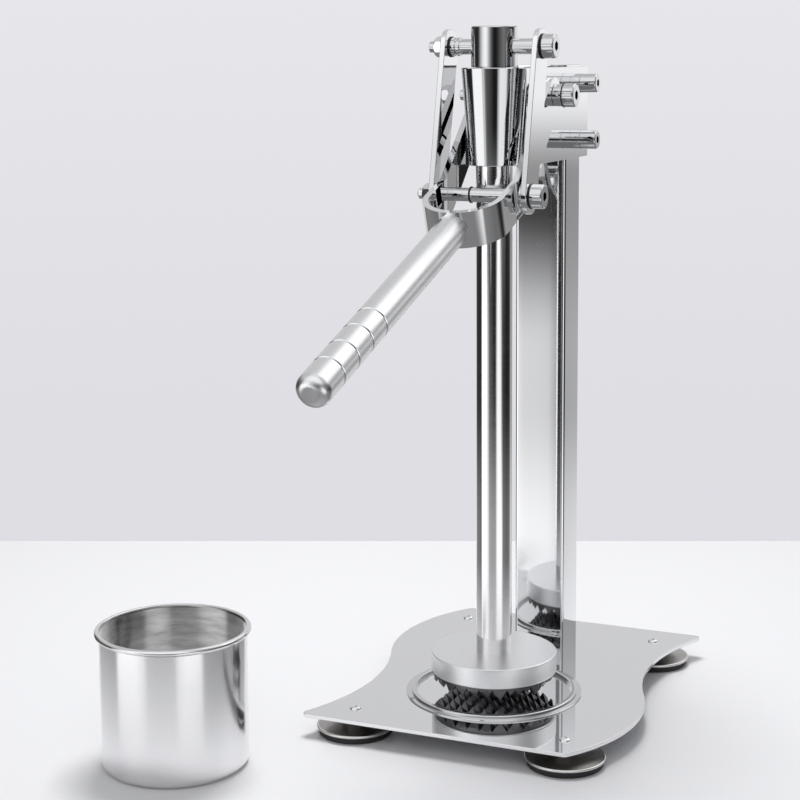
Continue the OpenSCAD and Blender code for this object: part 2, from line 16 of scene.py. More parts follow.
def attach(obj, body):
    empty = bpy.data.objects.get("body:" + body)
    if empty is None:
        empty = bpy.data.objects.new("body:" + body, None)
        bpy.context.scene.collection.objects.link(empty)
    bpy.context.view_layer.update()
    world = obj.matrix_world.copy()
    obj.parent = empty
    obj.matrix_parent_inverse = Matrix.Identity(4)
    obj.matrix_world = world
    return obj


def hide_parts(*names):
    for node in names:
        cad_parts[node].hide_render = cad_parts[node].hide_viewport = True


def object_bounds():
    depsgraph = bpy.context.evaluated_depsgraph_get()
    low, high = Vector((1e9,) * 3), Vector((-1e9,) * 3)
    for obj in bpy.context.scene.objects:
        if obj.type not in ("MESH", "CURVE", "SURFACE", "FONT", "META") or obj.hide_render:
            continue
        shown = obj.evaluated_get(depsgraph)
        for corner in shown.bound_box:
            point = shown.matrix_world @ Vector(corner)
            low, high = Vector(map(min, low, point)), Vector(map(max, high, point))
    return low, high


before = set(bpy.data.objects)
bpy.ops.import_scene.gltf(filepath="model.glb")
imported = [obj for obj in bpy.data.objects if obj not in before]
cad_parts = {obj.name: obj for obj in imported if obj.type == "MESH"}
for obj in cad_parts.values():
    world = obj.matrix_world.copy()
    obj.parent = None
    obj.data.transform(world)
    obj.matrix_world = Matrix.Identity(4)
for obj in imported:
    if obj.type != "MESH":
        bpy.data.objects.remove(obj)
cad_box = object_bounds()
print("nodes:", len(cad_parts))

# %% [markdown]
# ## The camera
#
# The press is seen from the front and a little from the right, from just above its own height. A long lens
# keeps the column's edges nearly parallel. A small vertical shift lets the camera look down less than it
# otherwise would have to, so upright edges stay upright. The camera is aimed with a quaternion that points
# its own -Z axis down the line of sight and keeps its Y axis up. A second, tiny turn about that line lets
# the press lean by less than half a degree, as it does on a tripod that was levelled by eye.

# %% Camera
aim_turn = math.radians(23.393)
aim_drop = math.radians(7.975)
aim_lean = math.radians(-0.393)
back = Vector((
    math.sin(aim_turn) * math.cos(aim_drop),
    -math.cos(aim_turn) * math.cos(aim_drop),
    math.sin(aim_drop)))
camera_data = bpy.data.cameras.new("camera")
camera_data.sensor_width = 36.0
camera_data.lens = 80.618
camera_data.shift_y = -0.12
camera_data.clip_start = 0.05
camera = bpy.data.objects.new("camera", camera_data)
camera.location = (0.443355, -1.194894, 0.467056)
camera.rotation_mode = "QUATERNION"
level_aim = (-back).to_track_quat("-Z", "Y")
camera.rotation_quaternion = level_aim @ Quaternion((0, 0, 1), aim_lean)
bpy.context.scene.collection.objects.link(camera)
bpy.context.scene.camera = camera
bpy.context.scene.view_settings.view_transform = "Standard"
print("camera at", [round(v, 3) for v in camera.location])

# %% [markdown]
# ## Small helpers for node trees
#
# Materials, the studio and the Geometry Nodes below are all trees of nodes. One helper adds a node and fills
# its inputs: a number or a colour is set, and the output of another node is joined. The others are built on
# it. They do one step of arithmetic, blend two colours or two shaders, and start and end a material. In a
# Mix node for colours, inputs 0, 6 and 7 are the share and the two colours, and output 2 is the blend.

# %% Node helpers
def add_node(tree, kind, values=None, **settings):
    node = tree.nodes.new(kind)
    for key, value in settings.items():
        setattr(node, key, value)
    for key, value in (values or {}).items():
        if isinstance(value, bpy.types.NodeSocket):
            tree.links.new(value, node.inputs[key])
        else:
            node.inputs[key].default_value = value
    return node


def sum_node(tree, operation, *values):
    return add_node(tree, "ShaderNodeMath", dict(enumerate(values)), operation=operation).outputs[0]


def blend_colours(tree, share, first, second):
    return add_node(tree, "ShaderNodeMix", {0: share, 6: first, 7: second}, data_type="RGBA").outputs[2]


def mix_shaders(tree, share, first, second):
    return add_node(tree, "ShaderNodeMixShader", {0: share, 1: first, 2: second}).outputs[0]


def new_material(name):
    material = bpy.data.materials.new(name)
    material.use_nodes = True
    material.node_tree.nodes.clear()
    print("finish", name)
    return material, material.node_tree


def end_material(tree, shader):
    add_node(tree, "ShaderNodeOutputMaterial", {"Surface": shader})


# %% [markdown]
# ## The studio
#
# A real set for polished metal has two tall softboxes, black cards beside them to give the steel dark
# edges, and a pale wall behind. Each could be built as a glowing plane. Here they are painted on the world
# instead, by compass direction, because on a round rod every direction shows up as one upright stripe, and
# a stripe can then be moved by changing one number. There are six rings of stripes, from rays that go down
# to the table to rays that climb steeply. The lowest ring comes first, and each of the others takes over
# from the one before it between two heights, which are degrees above the level. Only reflections see the
# rings. To the camera the world is a plain pale wall, and to diffuse surfaces it is an even glow.

# %% Stripes of the studio, by direction in degrees anticlockwise from +X
studio_gain = 1.35
low_ring = [
    (-180, 0.16), (-158, 0.12), (-153, 1.0), (-116, 0.95), (-112, 0.80), (-106.5, 0.78), (-100, 0.36),
    (-80, 0.32), (-58, 0.33), (-52, 0.80), (-40, 0.98), (-18, 0.95), (-11, 0.18), (20, 0.12), (48, 0.16),
    (60, 0.50), (80, 0.58), (96, 0.60), (140, 0.60), (149, 0.18), (180, 0.16)]
mid_ring = [
    (-180, 0.02), (-157, 0.02), (-152, 1.0), (-117, 1.0), (-113, 0.58), (-107, 0.55), (-104, 0.22),
    (-98, 0.09), (-84, 0.05), (-72, 0.012), (-60, 0.010), (-54, 0.45), (-47, 0.85), (-26, 0.80), (-19, 0.10),
    (-8, 0.02), (20, 0.008), (46, 0.02), (60, 0.30), (80, 0.34), (96, 0.48), (140, 0.50), (148, 0.03),
    (180, 0.02)]
level_ring = [
    (-180, 0.015), (-156, 0.015), (-151, 1.0), (-118, 1.0), (-114, 0.05), (-103, 0.02), (-80, 0.012),
    (-62, 0.015), (-55, 0.10), (-48, 0.95), (-34, 0.95), (-27, 0.12), (-12, 0.10), (3, 0.07), (12, 0.012),
    (44, 0.03), (56, 0.22), (80, 0.24), (96, 0.46), (140, 0.48), (147, 0.03), (180, 0.02)]
high_ring = [
    (-180, 0.02), (-158, 0.02), (-150, 0.10), (-143, 0.34), (-124, 0.90), (-110, 0.98), (-98, 0.50),
    (-88, 0.17), (-77, 0.03), (-66, 0.008), (-56, 0.02), (-44, 0.07), (-34, 0.12), (-22, 0.17), (-12, 0.13),
    (4, 0.10), (15, 0.02), (36, 0.012), (46, 0.18), (56, 0.66), (80, 0.75), (98, 0.52), (140, 0.50),
    (150, 0.06)]
upper_ring = [
    (-180, 0.10), (-150, 0.12), (-140, 0.70), (-118, 0.70), (-106, 0.46), (-60, 0.38), (-10, 0.08),
    (24, 0.16), (40, 0.26), (84, 0.28), (96, 0.52), (140, 0.49), (152, 0.10)]
steep_ring = [
    (-180, 0.40), (-145, 0.50), (-130, 0.80), (-40, 0.80), (-15, 0.35), (12, 0.40), (30, 1.0), (78, 1.0),
    (98, 0.52), (150, 0.42)]
further_rings = [
    (-15.5, -11.0, mid_ring), (-9.5, -4.8, level_ring), (-3.9, -1.2, high_ring), (5, 12, upper_ring),
    (17, 28, steep_ring)]
ceiling = (0.62, 0.62, 0.63, 1)
below_table = (0.17, 0.17, 0.175, 1)
stripe_blue = 1.006

# %% Rings painted by direction
world = bpy.data.worlds.new("studio")
bpy.context.scene.world = world
world.use_nodes = True
sky = world.node_tree
sky.nodes.clear()
ray = add_node(sky, "ShaderNodeTexCoord").outputs["Generated"]
ray_parts = add_node(sky, "ShaderNodeSeparateXYZ", {0: ray}).outputs
compass = sum_node(sky, "ARCTAN2", ray_parts[1], ray_parts[0])
around = sum_node(sky, "MULTIPLY_ADD", compass, 1 / (2 * math.pi), 0.5)
climb = sum_node(sky, "ARCSINE", ray_parts[2])


def paint_ring(stops):
    ramp_node = add_node(sky, "ShaderNodeValToRGB", {0: around})
    marks = ramp_node.color_ramp.elements
    while len(marks) > 1:
        marks.remove(marks[-1])
    for number, (degrees, bright) in enumerate(stops):
        place = (degrees + 180) / 360
        mark = marks.new(place) if number else marks[0]
        mark.position = place
        mark.color = (bright, bright, bright * stripe_blue, 1)
    return ramp_node.outputs[0]


def climb_share(low, high):
    heights = {"Value": climb, "From Min": math.radians(low), "From Max": math.radians(high)}
    return add_node(sky, "ShaderNodeMapRange", heights, interpolation_type="SMOOTHSTEP").outputs[0]


rings = paint_ring(low_ring)
for low, high, ring in further_rings:
    rings = blend_colours(sky, climb_share(low, high), rings, paint_ring(ring))
rings = blend_colours(sky, climb_share(64, 76), rings, ceiling)
rings = blend_colours(sky, climb_share(-25, -36), rings, below_table)

# %% [markdown]
# The wall behind the press is a little greyer and cooler towards the table, which a slow change with height
# gives. It is what the camera sees wherever no table is.

# %% Wall for the camera, even glow for the rest
def background(colour, strength):
    return add_node(sky, "ShaderNodeBackground", {"Color": colour, "Strength": strength}).outputs[0]


wall_low = (0.735, 0.728, 0.772, 1)
wall_high = (0.815, 0.808, 0.838, 1)
glow_colour = (0.93, 0.94, 0.97, 1)
glow_gain = 0.50
ray_kind = add_node(sky, "ShaderNodeLightPath").outputs
wall_paint = background(blend_colours(sky, climb_share(-14, 8), wall_low, wall_high), 1.0)
glow_or_studio = mix_shaders(
    sky, ray_kind["Is Glossy Ray"], background(glow_colour, glow_gain), background(rings, studio_gain))
all_rays = mix_shaders(sky, ray_kind["Is Camera Ray"], glow_or_studio, wall_paint)
add_node(sky, "ShaderNodeOutputWorld", {"Surface": all_rays})
print("world nodes:", len(sky.nodes))

# %% [markdown]
# ## The table
#
# The table is one plain white sheet. Its back edge passes 470 mm behind the rod, where the wall begins. It
# is turned by a degree and a half, which makes it look level to the slightly leaning camera. Long
# reflections pass through it to the painted studio, so that polished metal shows stripes and not a white
# sheet. Short ones still find it, which is what grounds the feet and the cup.

# %% Table
floor_z = cad_box[0][2]
table_half = 3.0
table_back = 0.4696
table_turn = aim_turn - math.radians(1.457)
clear_from = 0.06
clear_to = 0.42
sight = Vector((-math.sin(table_turn), math.cos(table_turn), 0))
side = Vector((math.cos(table_turn), math.sin(table_turn), 0))
table_corners = []
for across, along in ((-1, -table_half), (1, -table_half), (1, table_back), (-1, table_back)):
    corner = side * across * table_half + sight * along
    table_corners.append((corner.x, corner.y, floor_z))
table_mesh = bpy.data.meshes.new("table")
table_mesh.from_pydata(table_corners, [], [(0, 1, 2, 3)])
table = bpy.data.objects.new("table", table_mesh)
bpy.context.scene.collection.objects.link(table)

white_table, sheet = new_material("white_table")
sheet_top = add_node(sheet, "ShaderNodeBsdfPrincipled", {
    "Base Color": (0.72, 0.72, 0.735, 1), "Roughness": 0.3, "Specular IOR Level": 0.35})
sheet_ray = add_node(sheet, "ShaderNodeLightPath").outputs
lengths = {"Value": sheet_ray["Ray Length"], "From Min": clear_from, "From Max": clear_to}
reach = add_node(sheet, "ShaderNodeMapRange", lengths).outputs[0]
passes = sum_node(sheet, "MULTIPLY", reach, sheet_ray["Is Glossy Ray"])
clear = add_node(sheet, "ShaderNodeBsdfTransparent")
end_material(sheet, mix_shaders(sheet, passes, sheet_top.outputs[0], clear.outputs[0]))
table_mesh.materials.append(white_table)
print("table at z", round(floor_z, 4))

# %% [markdown]
# ## Lamps
#
# One wide lamp, overhead and behind, gives the soft shadows that come forward from under the plate and the
# cup. A weaker one in front opens them up. Both are hidden from reflections, because the painted studio
# already supplies those.


# %% Lamps
def soft_lamp(name, place, target, width, power):
    data = bpy.data.lights.new(name, "AREA")
    data.shape = "SQUARE"
    data.size = width
    data.energy = power
    lamp = bpy.data.objects.new(name, data)
    lamp.location = place
    lamp.rotation_mode = "QUATERNION"
    lamp.rotation_quaternion = (Vector(target) - Vector(place)).to_track_quat("-Z", "Y")
    lamp.visible_glossy = False
    lamp.visible_camera = False
    bpy.context.scene.collection.objects.link(lamp)
    print(name, "power", power)


soft_lamp("overhead_lamp", (-0.20, 0.32, 1.50), (-0.02, -0.02, 0.05), 0.55, 20.5)
soft_lamp("front_lamp", (0.5, -1.3, 1.5), (0, 0, 0.1), 1.2, 5.0)


# %% [markdown]
# ## Shared effects for the metals
#
# Three things mark metal that is used in a kitchen: fine lines left by the polishing belt or the lathe,
# faint smudges where hands have been, and a few hair-thin scratches. More than one finish needs each of
# them, so each is a node group that is built once. A group puts out only a height or a mask. The metal
# shader itself stays in each material.

# %% A group with named inputs
def new_group(name, inputs, outputs, kind="ShaderNodeTree"):
    group = bpy.data.node_groups.new(name, kind)
    for label, socket_kind, value in inputs:
        socket = group.interface.new_socket(label, in_out="INPUT", socket_type=socket_kind)
        if value is not None:
            socket.default_value = value
    for label, socket_kind in outputs:
        group.interface.new_socket(label, in_out="OUTPUT", socket_type=socket_kind)
    return group, group.nodes.new("NodeGroupInput").outputs


def noise_on(tree, vector, scale, detail=2.0, rough=0.5):
    values = {"Vector": vector, "Scale": scale, "Detail": detail, "Roughness": rough}
    return add_node(tree, "ShaderNodeTexNoise", values).outputs[0]


def scaled(tree, vector, factors):
    return add_node(tree, "ShaderNodeVectorMath", {0: vector, 1: factors}, operation="MULTIPLY").outputs[0]


# %% [markdown]
# **Brushing.** A belt or a lathe leaves lines that are long one way and very fine the other. Noise that is
# stretched does this. Where the lines run is set by the coordinates that go in, so the group only needs the
# coordinate that crosses the lines, the one along them, and how fine the lines are.

# %% Brushing group
brushing, brush_in = new_group(
    "brushed_lines",
    [("Across", "NodeSocketFloat", 0.0), ("Along", "NodeSocketFloat", 0.0),
     ("Lines per metre", "NodeSocketFloat", 4000.0), ("Line length", "NodeSocketFloat", 0.03)],
    [("Height", "NodeSocketFloat"), ("Tone", "NodeSocketFloat")])
fine_place = sum_node(brushing, "MULTIPLY", brush_in["Across"], brush_in["Lines per metre"])
long_place = sum_node(brushing, "DIVIDE", brush_in["Along"], brush_in["Line length"])
line_place = add_node(brushing, "ShaderNodeCombineXYZ", {0: fine_place, 1: long_place}).outputs[0]
fine_lines = noise_on(brushing, line_place, 1.0, 1.0)
wide_lines = noise_on(brushing, scaled(brushing, line_place, (0.14, 0.5, 1.0)), 1.0, 2.0)
wide_part = sum_node(brushing, "MULTIPLY", wide_lines, 0.4)
both_lines = sum_node(brushing, "MULTIPLY_ADD", fine_lines, 0.6, wide_part)
add_node(brushing, "NodeGroupOutput", {"Height": both_lines, "Tone": wide_lines})

# %% [markdown]
# **Smudges.** A polished face is never equally clean. Two sizes of soft noise, cut so that most of the face
# stays clean, give patches where the shine is a little duller.

# %% Smudge group
smudging, smudge_in = new_group(
    "hand_smudges",
    [("Place", "NodeSocketVector", None), ("Patch size", "NodeSocketFloat", 0.03),
     ("Clean share", "NodeSocketFloat", 0.5)],
    [("Mask", "NodeSocketFloat")])
patch_scale = sum_node(smudging, "DIVIDE", 1.0, smudge_in["Patch size"])
patches = noise_on(smudging, smudge_in["Place"], patch_scale, 3.0, 0.6)
cut_values = {"Value": patches, "From Min": smudge_in["Clean share"], "From Max": 0.78}
cut = add_node(smudging, "ShaderNodeMapRange", cut_values, interpolation_type="SMOOTHSTEP").outputs[0]
speckle = noise_on(smudging, smudge_in["Place"], sum_node(smudging, "MULTIPLY", patch_scale, 18.0), 2.0)
add_node(smudging, "NodeGroupOutput", {"Mask": sum_node(smudging, "MULTIPLY", cut, speckle)})

# %% [markdown]
# **Hair scratches.** The borders between the cells of a Voronoi pattern are thin lines. Stretched, and
# broken up by a soft noise, they look like wiping marks. The mask is one on a mark and zero elsewhere.

# %% Scratch group
scratching, scratch_in = new_group(
    "wiping_scratches",
    [("Place", "NodeSocketVector", None), ("Marks per metre", "NodeSocketFloat", 60.0),
     ("Width", "NodeSocketFloat", 0.004)],
    [("Mask", "NodeSocketFloat")])
cell_values = {"Vector": scaled(scratching, scratch_in["Place"], (1.0, 0.22, 0.3)),
               "Scale": scratch_in["Marks per metre"]}
cells = add_node(scratching, "ShaderNodeTexVoronoi", cell_values, feature="DISTANCE_TO_EDGE")
on_mark = sum_node(scratching, "LESS_THAN", cells.outputs["Distance"], scratch_in["Width"])
kept = sum_node(scratching, "GREATER_THAN", noise_on(scratching, scratch_in["Place"], 45.0, 1.0), 0.55)
add_node(scratching, "NodeGroupOutput", {"Mask": sum_node(scratching, "MULTIPLY", on_mark, kept)})
print("nodes of the three groups:", [len(group.nodes) for group in (brushing, smudging, scratching)])


# %% [markdown]
# ## The finishes
#
# Every metal here is made by one function, because they differ only in numbers: how bright the metal is,
# how rough it is where it is clean, how much rougher where it is smudged, and which way its lines run. The
# direction is one of four. *Rings* run round an upright axis, as on a turned rod or cup. *Faced* lines are
# circles on a flat turned face. *Grain* lines run upwards along a sheet. *Handle* lines run round the
# slanted handle.

# %% Directions of the lines
handle_slope = math.radians(18.5)
usual_radius = 0.03


def line_directions(tree, place, kind, axis):
    x, y, z = add_node(tree, "ShaderNodeSeparateXYZ", {0: place}).outputs
    if kind == "grain":
        return sum_node(tree, "ADD", x, y), z
    if kind == "handle":
        run = sum_node(tree, "MULTIPLY", y, math.cos(handle_slope))
        return sum_node(tree, "MULTIPLY_ADD", z, math.sin(handle_slope), run), x
    from_x = sum_node(tree, "SUBTRACT", x, axis[0])
    from_y = sum_node(tree, "SUBTRACT", y, axis[1])
    arc_length = sum_node(tree, "MULTIPLY", sum_node(tree, "ARCTAN2", from_y, from_x), usual_radius)
    if kind == "rings":
        return z, arc_length
    squares = sum_node(tree, "MULTIPLY_ADD", from_x, from_x, sum_node(tree, "MULTIPLY", from_y, from_y))
    return sum_node(tree, "ADD", sum_node(tree, "SQRT", squares), z), arc_length


# %% One function for all the metals
clean_share = 0.48
smudge_tone = 0.5


def metal(name, colour, rough, lines="grain", axis=(0, 0), line_depth=0.0, line_count=4000,
          line_length=0.03, line_rough=0.0, smudge=0.05, patch=0.03, tint=0.04, scratch=0.0):
    material, tree = new_material(name)
    place = add_node(tree, "ShaderNodeTexCoord").outputs["Object"]
    across, along = line_directions(tree, place, lines, axis)
    brush = add_node(tree, "ShaderNodeGroup", {
        "Across": across, "Along": along, "Lines per metre": line_count, "Line length": line_length},
        node_tree=brushing).outputs
    hands = add_node(tree, "ShaderNodeGroup", {
        "Place": place, "Patch size": patch, "Clean share": clean_share}, node_tree=smudging).outputs[0]
    marks = add_node(tree, "ShaderNodeGroup", {"Place": place}, node_tree=scratching).outputs[0]

    smudged = sum_node(tree, "MULTIPLY_ADD", hands, smudge, rough)
    lined = sum_node(tree, "MULTIPLY_ADD", brush["Tone"], line_rough, smudged)
    scratched = sum_node(tree, "MULTIPLY_ADD", marks, scratch, lined)

    darker = tuple(c * (1 - tint) for c in colour) + (1.0,)
    tone = blend_colours(tree, brush["Tone"], darker, tuple(colour) + (1.0,))
    tone = blend_colours(tree, sum_node(tree, "MULTIPLY", hands, smudge_tone), tone, darker)

    shader = add_node(tree, "ShaderNodeBsdfPrincipled", {
        "Metallic": 1.0, "Base Color": tone, "Roughness": scratched})
    if line_depth:
        bump = add_node(tree, "ShaderNodeBump", {
            "Strength": 1.0, "Distance": line_depth, "Height": brush["Height"]})
        tree.links.new(bump.outputs[0], shader.inputs["Normal"])
    end_material(tree, shader.outputs[0])
    return material


# %% [markdown]
# **Sheet steel** is on the plate, the column and the head, with long faint lines from the polishing belt.
# **Mirror steel** is on the smaller flat parts. **Turned steel** is on the sleeve, the cap and the bolts.
# ** Rod steel** is polished on a lathe, so its stripes are a little soft. **Edge steel** is the cut edge of a
# sheet, and **satin steel** is on the two parts that nobody polishes. **Crusher steel** is painted dark,
# as painted shade for the light that is lost between its points. Bolt sockets and the narrow gap at the
# foot of the handle are painted near-black, as painted shade. The aluminium of the handle and the press
# plate is satin. The feet are **nickel** with a brighter rim. The cup is satin outside. Inside it is brushed
# round in dark and light lines, and its colour is painted darker than outside, as painted shade inside the
# cup. The strong contrast of its lines is partly real brushing and partly painted streaks of reflection.

# %% Metals
cup_axis = (-0.170, -0.172)
mirror_steel = metal("mirror_steel", (0.86, 0.865, 0.875), 0.022, smudge=0.07, patch=0.05, scratch=0.05,
                     line_depth=1.2e-6, line_count=900, line_length=0.08, tint=0.02)
sheet_steel = metal("sheet_steel", (0.85, 0.855, 0.87), 0.028, smudge=0.08, patch=0.07, scratch=0.06,
                    line_depth=8e-7, line_count=600, line_length=0.10, tint=0.02)
turned_steel = metal("turned_steel", (0.69, 0.695, 0.705), 0.030, lines="rings", line_depth=6e-7,
                     line_count=3000, line_length=0.02, smudge=0.06, tint=0.05)
rod_steel = metal("rod_steel", (0.85, 0.85, 0.86), 0.085, lines="rings", line_depth=4e-6,
                  line_count=2600, line_length=0.012, line_rough=0.05, smudge=0.06, tint=0.06)
edge_steel = metal("edge_steel", (0.82, 0.82, 0.83), 0.16, smudge=0.06, tint=0.03, line_count=2000)
satin_steel = metal("satin_steel", (0.62, 0.62, 0.63), 0.20, lines="faced", line_depth=3e-6,
                    line_count=2500, line_length=0.01, line_rough=0.08, tint=0.08)
# The crusher's colour is painted dark, as painted shade for the light lost between its points.
crusher_shaded_steel = metal("crusher_shaded_steel", (0.17, 0.17, 0.175), 0.24, line_depth=2e-6, line_count=1500,
                      line_rough=0.10, smudge=0.10, patch=0.012, tint=0.20)
# Near-black colour painted into bolt sockets and the gap at the handle's foot, as painted shade.
recess_shade = metal("recess_shade", (0.05, 0.05, 0.052), 0.35, tint=0.2)
handle_aluminium = metal("handle_aluminium", (0.88, 0.885, 0.895), 0.25, lines="handle", line_depth=7e-6,
                         line_count=2400, line_length=0.004, line_rough=0.10, smudge=0.10, tint=0.08)
plate_aluminium = metal("plate_aluminium", (0.94, 0.945, 0.955), 0.29, lines="faced", line_depth=6e-6,
                        line_count=2600, line_length=0.012, line_rough=0.10, smudge=0.06, tint=0.07)
nickel = metal("nickel", (0.48, 0.465, 0.445), 0.26, lines="faced", line_depth=3e-6,
               line_count=1800, line_length=0.02, line_rough=0.08, tint=0.12)
nickel_rim = metal("nickel_rim", (0.72, 0.71, 0.69), 0.12, tint=0.05)
cup_outside = metal("cup_outside", (0.86, 0.86, 0.865), 0.125, lines="rings", axis=cup_axis,
                    line_depth=3e-6, line_count=2600, line_length=0.02, line_rough=0.04, tint=0.04)
# The inside's colour is painted darker than the outside, as painted shade inside the cup; its strong dark
# and light lines are partly brushing and partly painted streaks of reflection.
cup_inside = metal("cup_inside", (0.60, 0.595, 0.59), 0.12, lines="rings", axis=cup_axis,
                   line_depth=3.4e-5, line_count=1500, line_length=0.006, line_rough=0.12, tint=0.72)


# %% [markdown]
# **Black parts.** The washers are moulded nylon with a faint bloom, and the pads under the feet are rubber
# with dust in their pores. Both are dark, so most of what shows is a broken, dull highlight. One function
# makes both from a fine noise for the pores and the smudge group for the bloom.

# %% Black nylon and rubber
bloom_patch = 0.012
pore_rough = 0.25


def black_part(name, colour, dusty, rough, pore_size, pore_depth):
    material, tree = new_material(name)
    place = add_node(tree, "ShaderNodeTexCoord").outputs["Object"]
    pores = noise_on(tree, place, 1 / pore_size, 3.0)
    bloom = add_node(tree, "ShaderNodeGroup", {
        "Place": place, "Patch size": bloom_patch}, node_tree=smudging)
    bump = add_node(tree, "ShaderNodeBump", {"Strength": 1.0, "Distance": pore_depth, "Height": pores})
    shader = add_node(tree, "ShaderNodeBsdfPrincipled", {
        "Base Color": blend_colours(tree, bloom.outputs["Mask"], colour + (1.0,), dusty + (1.0,)),
        "Roughness": sum_node(tree, "MULTIPLY_ADD", pores, pore_rough, rough),
        "Normal": bump.outputs[0]})
    end_material(tree, shader.outputs[0])
    return material


black_nylon = black_part("black_nylon", (0.010, 0.010, 0.011), (0.05, 0.05, 0.05), 0.28, 0.0009, 0.00002)
black_rubber = black_part("black_rubber", (0.014, 0.014, 0.014), (0.07, 0.07, 0.068), 0.50, 0.0012, 0.00006)


# %% [markdown]
# ## Making pieces
#
# Most sheet and bar pieces already have their exact shape in the measured model. What they lack is the
# small rounding that every real edge has, and it is this rounding that catches a thin line of light. So a
# piece is copied, its loose triangles are merged into proper faces, and a narrow Bevel is put on every edge
# sharper than 30 degrees. The measured mesh itself is never touched. A bolt's head has a hexagonal socket,
# whose walls and floor are painted near-black, as painted shade in the recess. A socket is given by the
# place of its bolt along Y and Z, the head's outer face along X, and a radius that holds the hexagon.

# %% Dress a copy of a measured piece
merge_distance = 2e-6
flat_angle = math.radians(0.4)
socket_depth = 0.0048
face_skin = 0.0002


def put(name, mesh):
    piece = bpy.data.objects.new(name, mesh)
    bpy.context.scene.collection.objects.link(piece)
    return piece


def keep(piece, body, slot, *nodes):
    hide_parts(*nodes)
    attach(piece, body)
    print(piece.name, len(piece.data.polygons), "faces")


def round_edges(piece, width, sharp=30):
    bevel = piece.modifiers.new("rounded_edges", "BEVEL")
    bevel.width = width
    bevel.segments = 2
    bevel.limit_method = "ANGLE"
    bevel.angle_limit = math.radians(sharp)
    bevel.harden_normals = True
    return bevel


def clean_copy(node):
    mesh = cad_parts[node].data.copy()
    work = bmesh.new()
    work.from_mesh(mesh)
    bmesh.ops.remove_doubles(work, verts=work.verts, dist=merge_distance)
    bmesh.ops.dissolve_limit(work, angle_limit=flat_angle, verts=work.verts, edges=work.edges)
    for face in work.faces:
        face.smooth = True
    work.to_mesh(mesh)
    work.free()
    mesh.materials.clear()
    if mesh.attributes.get("custom_normal"):
        mesh.attributes.remove(mesh.attributes["custom_normal"])
    return mesh


# Faces inside a bolt's socket get the near-black colour, as painted shade in the recess.
def paint_socket_shade(mesh, socket):
    (pin_y, pin_z), face_x, radius = socket
    mesh.materials.append(recess_shade)
    for face in mesh.polygons:
        x, y, z = face.center
        near_pin = math.hypot(y - pin_y, z - pin_z) < radius
        if near_pin and face_x - socket_depth < x < face_x - face_skin:
            face.material_index = len(mesh.materials) - 1


def dressed(node, finish, edge, rubbed=None, body="root", slot="mirror_steel", sharp=30, socket=None):
    mesh = clean_copy(node)
    mesh.materials.append(finish)
    if socket:
        paint_socket_shade(mesh, socket)
    piece = put("fine_" + node, mesh)
    bevel = round_edges(piece, edge, sharp)
    if rubbed:
        mesh.materials.append(rubbed)
        bevel.material = 1
    keep(piece, body, slot, node)


# %% [markdown]
# Round pieces are turned, as on a lathe: a half outline is swept round an axis. The sweep is done here with
# plain sums, because they put every ring exactly where the drawing says. Sharp corners of the outline are
# marked sharp. Long stretches get a second ring close to each end, which holds the shading, so that straight
# faces stay straight in a reflection.

# %% Turn a half outline round an axis
on_axis = 1e-7
hold = 0.0003


def held(outline):
    points = [outline[0]]
    for (first_r, first_h), (next_r, next_h) in zip(outline, outline[1:]):
        length = math.hypot(next_r - first_r, next_h - first_h)
        if length > 10 * hold:
            for share in (hold / length, 1 - hold / length):
                points.append((first_r + (next_r - first_r) * share, first_h + (next_h - first_h) * share))
        points.append((next_r, next_h))
    return points


def ring_of_points(work, radius, height, sides):
    if radius < on_axis:
        return [work.verts.new((0, 0, height))]
    ring = []
    for step in range(sides):
        angle = 2 * math.pi * step / sides
        ring.append(work.verts.new((radius * math.cos(angle), radius * math.sin(angle), height)))
    return ring


def join_rings(work, lower, upper, sides):
    for step in range(sides):
        following = (step + 1) % sides
        if len(lower) == 1:
            work.faces.new((lower[0], upper[following], upper[step]))
        elif len(upper) == 1:
            work.faces.new((lower[step], lower[following], upper[0]))
        else:
            work.faces.new((lower[step], lower[following], upper[following], upper[step]))


def smooth_piece(work, name):
    bmesh.ops.recalc_face_normals(work, faces=work.faces)
    for face in work.faces:
        face.smooth = True
    mesh = bpy.data.meshes.new(name)
    work.to_mesh(mesh)
    work.free()
    return put(name, mesh)


def turned(name, outline, centre=(0, 0, 0), aim=None, sides=128, sharp=24, face_finish=None):
    work = bmesh.new()
    rows = [ring_of_points(work, radius, height, sides) for radius, height in held(outline)]
    if outline[0] == outline[-1]:
        for spare in rows[-1]:
            work.verts.remove(spare)
        rows[-1] = rows[0]
    for lower, upper in zip(rows, rows[1:]):
        join_rings(work, lower, upper, sides)
    bmesh.ops.recalc_face_normals(work, faces=work.faces)
    if face_finish:
        for face in work.faces:
            face.material_index = face_finish(face.calc_center_median(), face.normal)
    for edge in work.edges:
        edge.smooth = edge.calc_face_angle(0) < math.radians(sharp)
    work.transform(Matrix.Translation(Vector(centre)) @ (aim or Matrix.Identity(4)))
    return smooth_piece(work, name)


def corner_arc(centre, radius, start, stop, steps):
    points = []
    for step in range(steps + 1):
        angle = math.radians(start + (stop - start) * step / steps)
        points.append((centre[0] + radius * math.cos(angle), centre[1] + radius * math.sin(angle)))
    return points


def settle(piece, finishes, body, slot, *nodes):
    for finish in finishes:
        piece.data.materials.append(finish)
    keep(piece, body, slot, *nodes)


# %% [markdown]
# ## The base plate
#
# The plate is 3 mm sheet, cut to an S on each side: a hollow arc that runs smoothly into a bulging one. The
# second side is the first turned half a turn, so only one side is worked out. The outline follows a rule,
# so it is drawn with the same arcs as the real plate, finely enough to look smooth in a mirror finish.

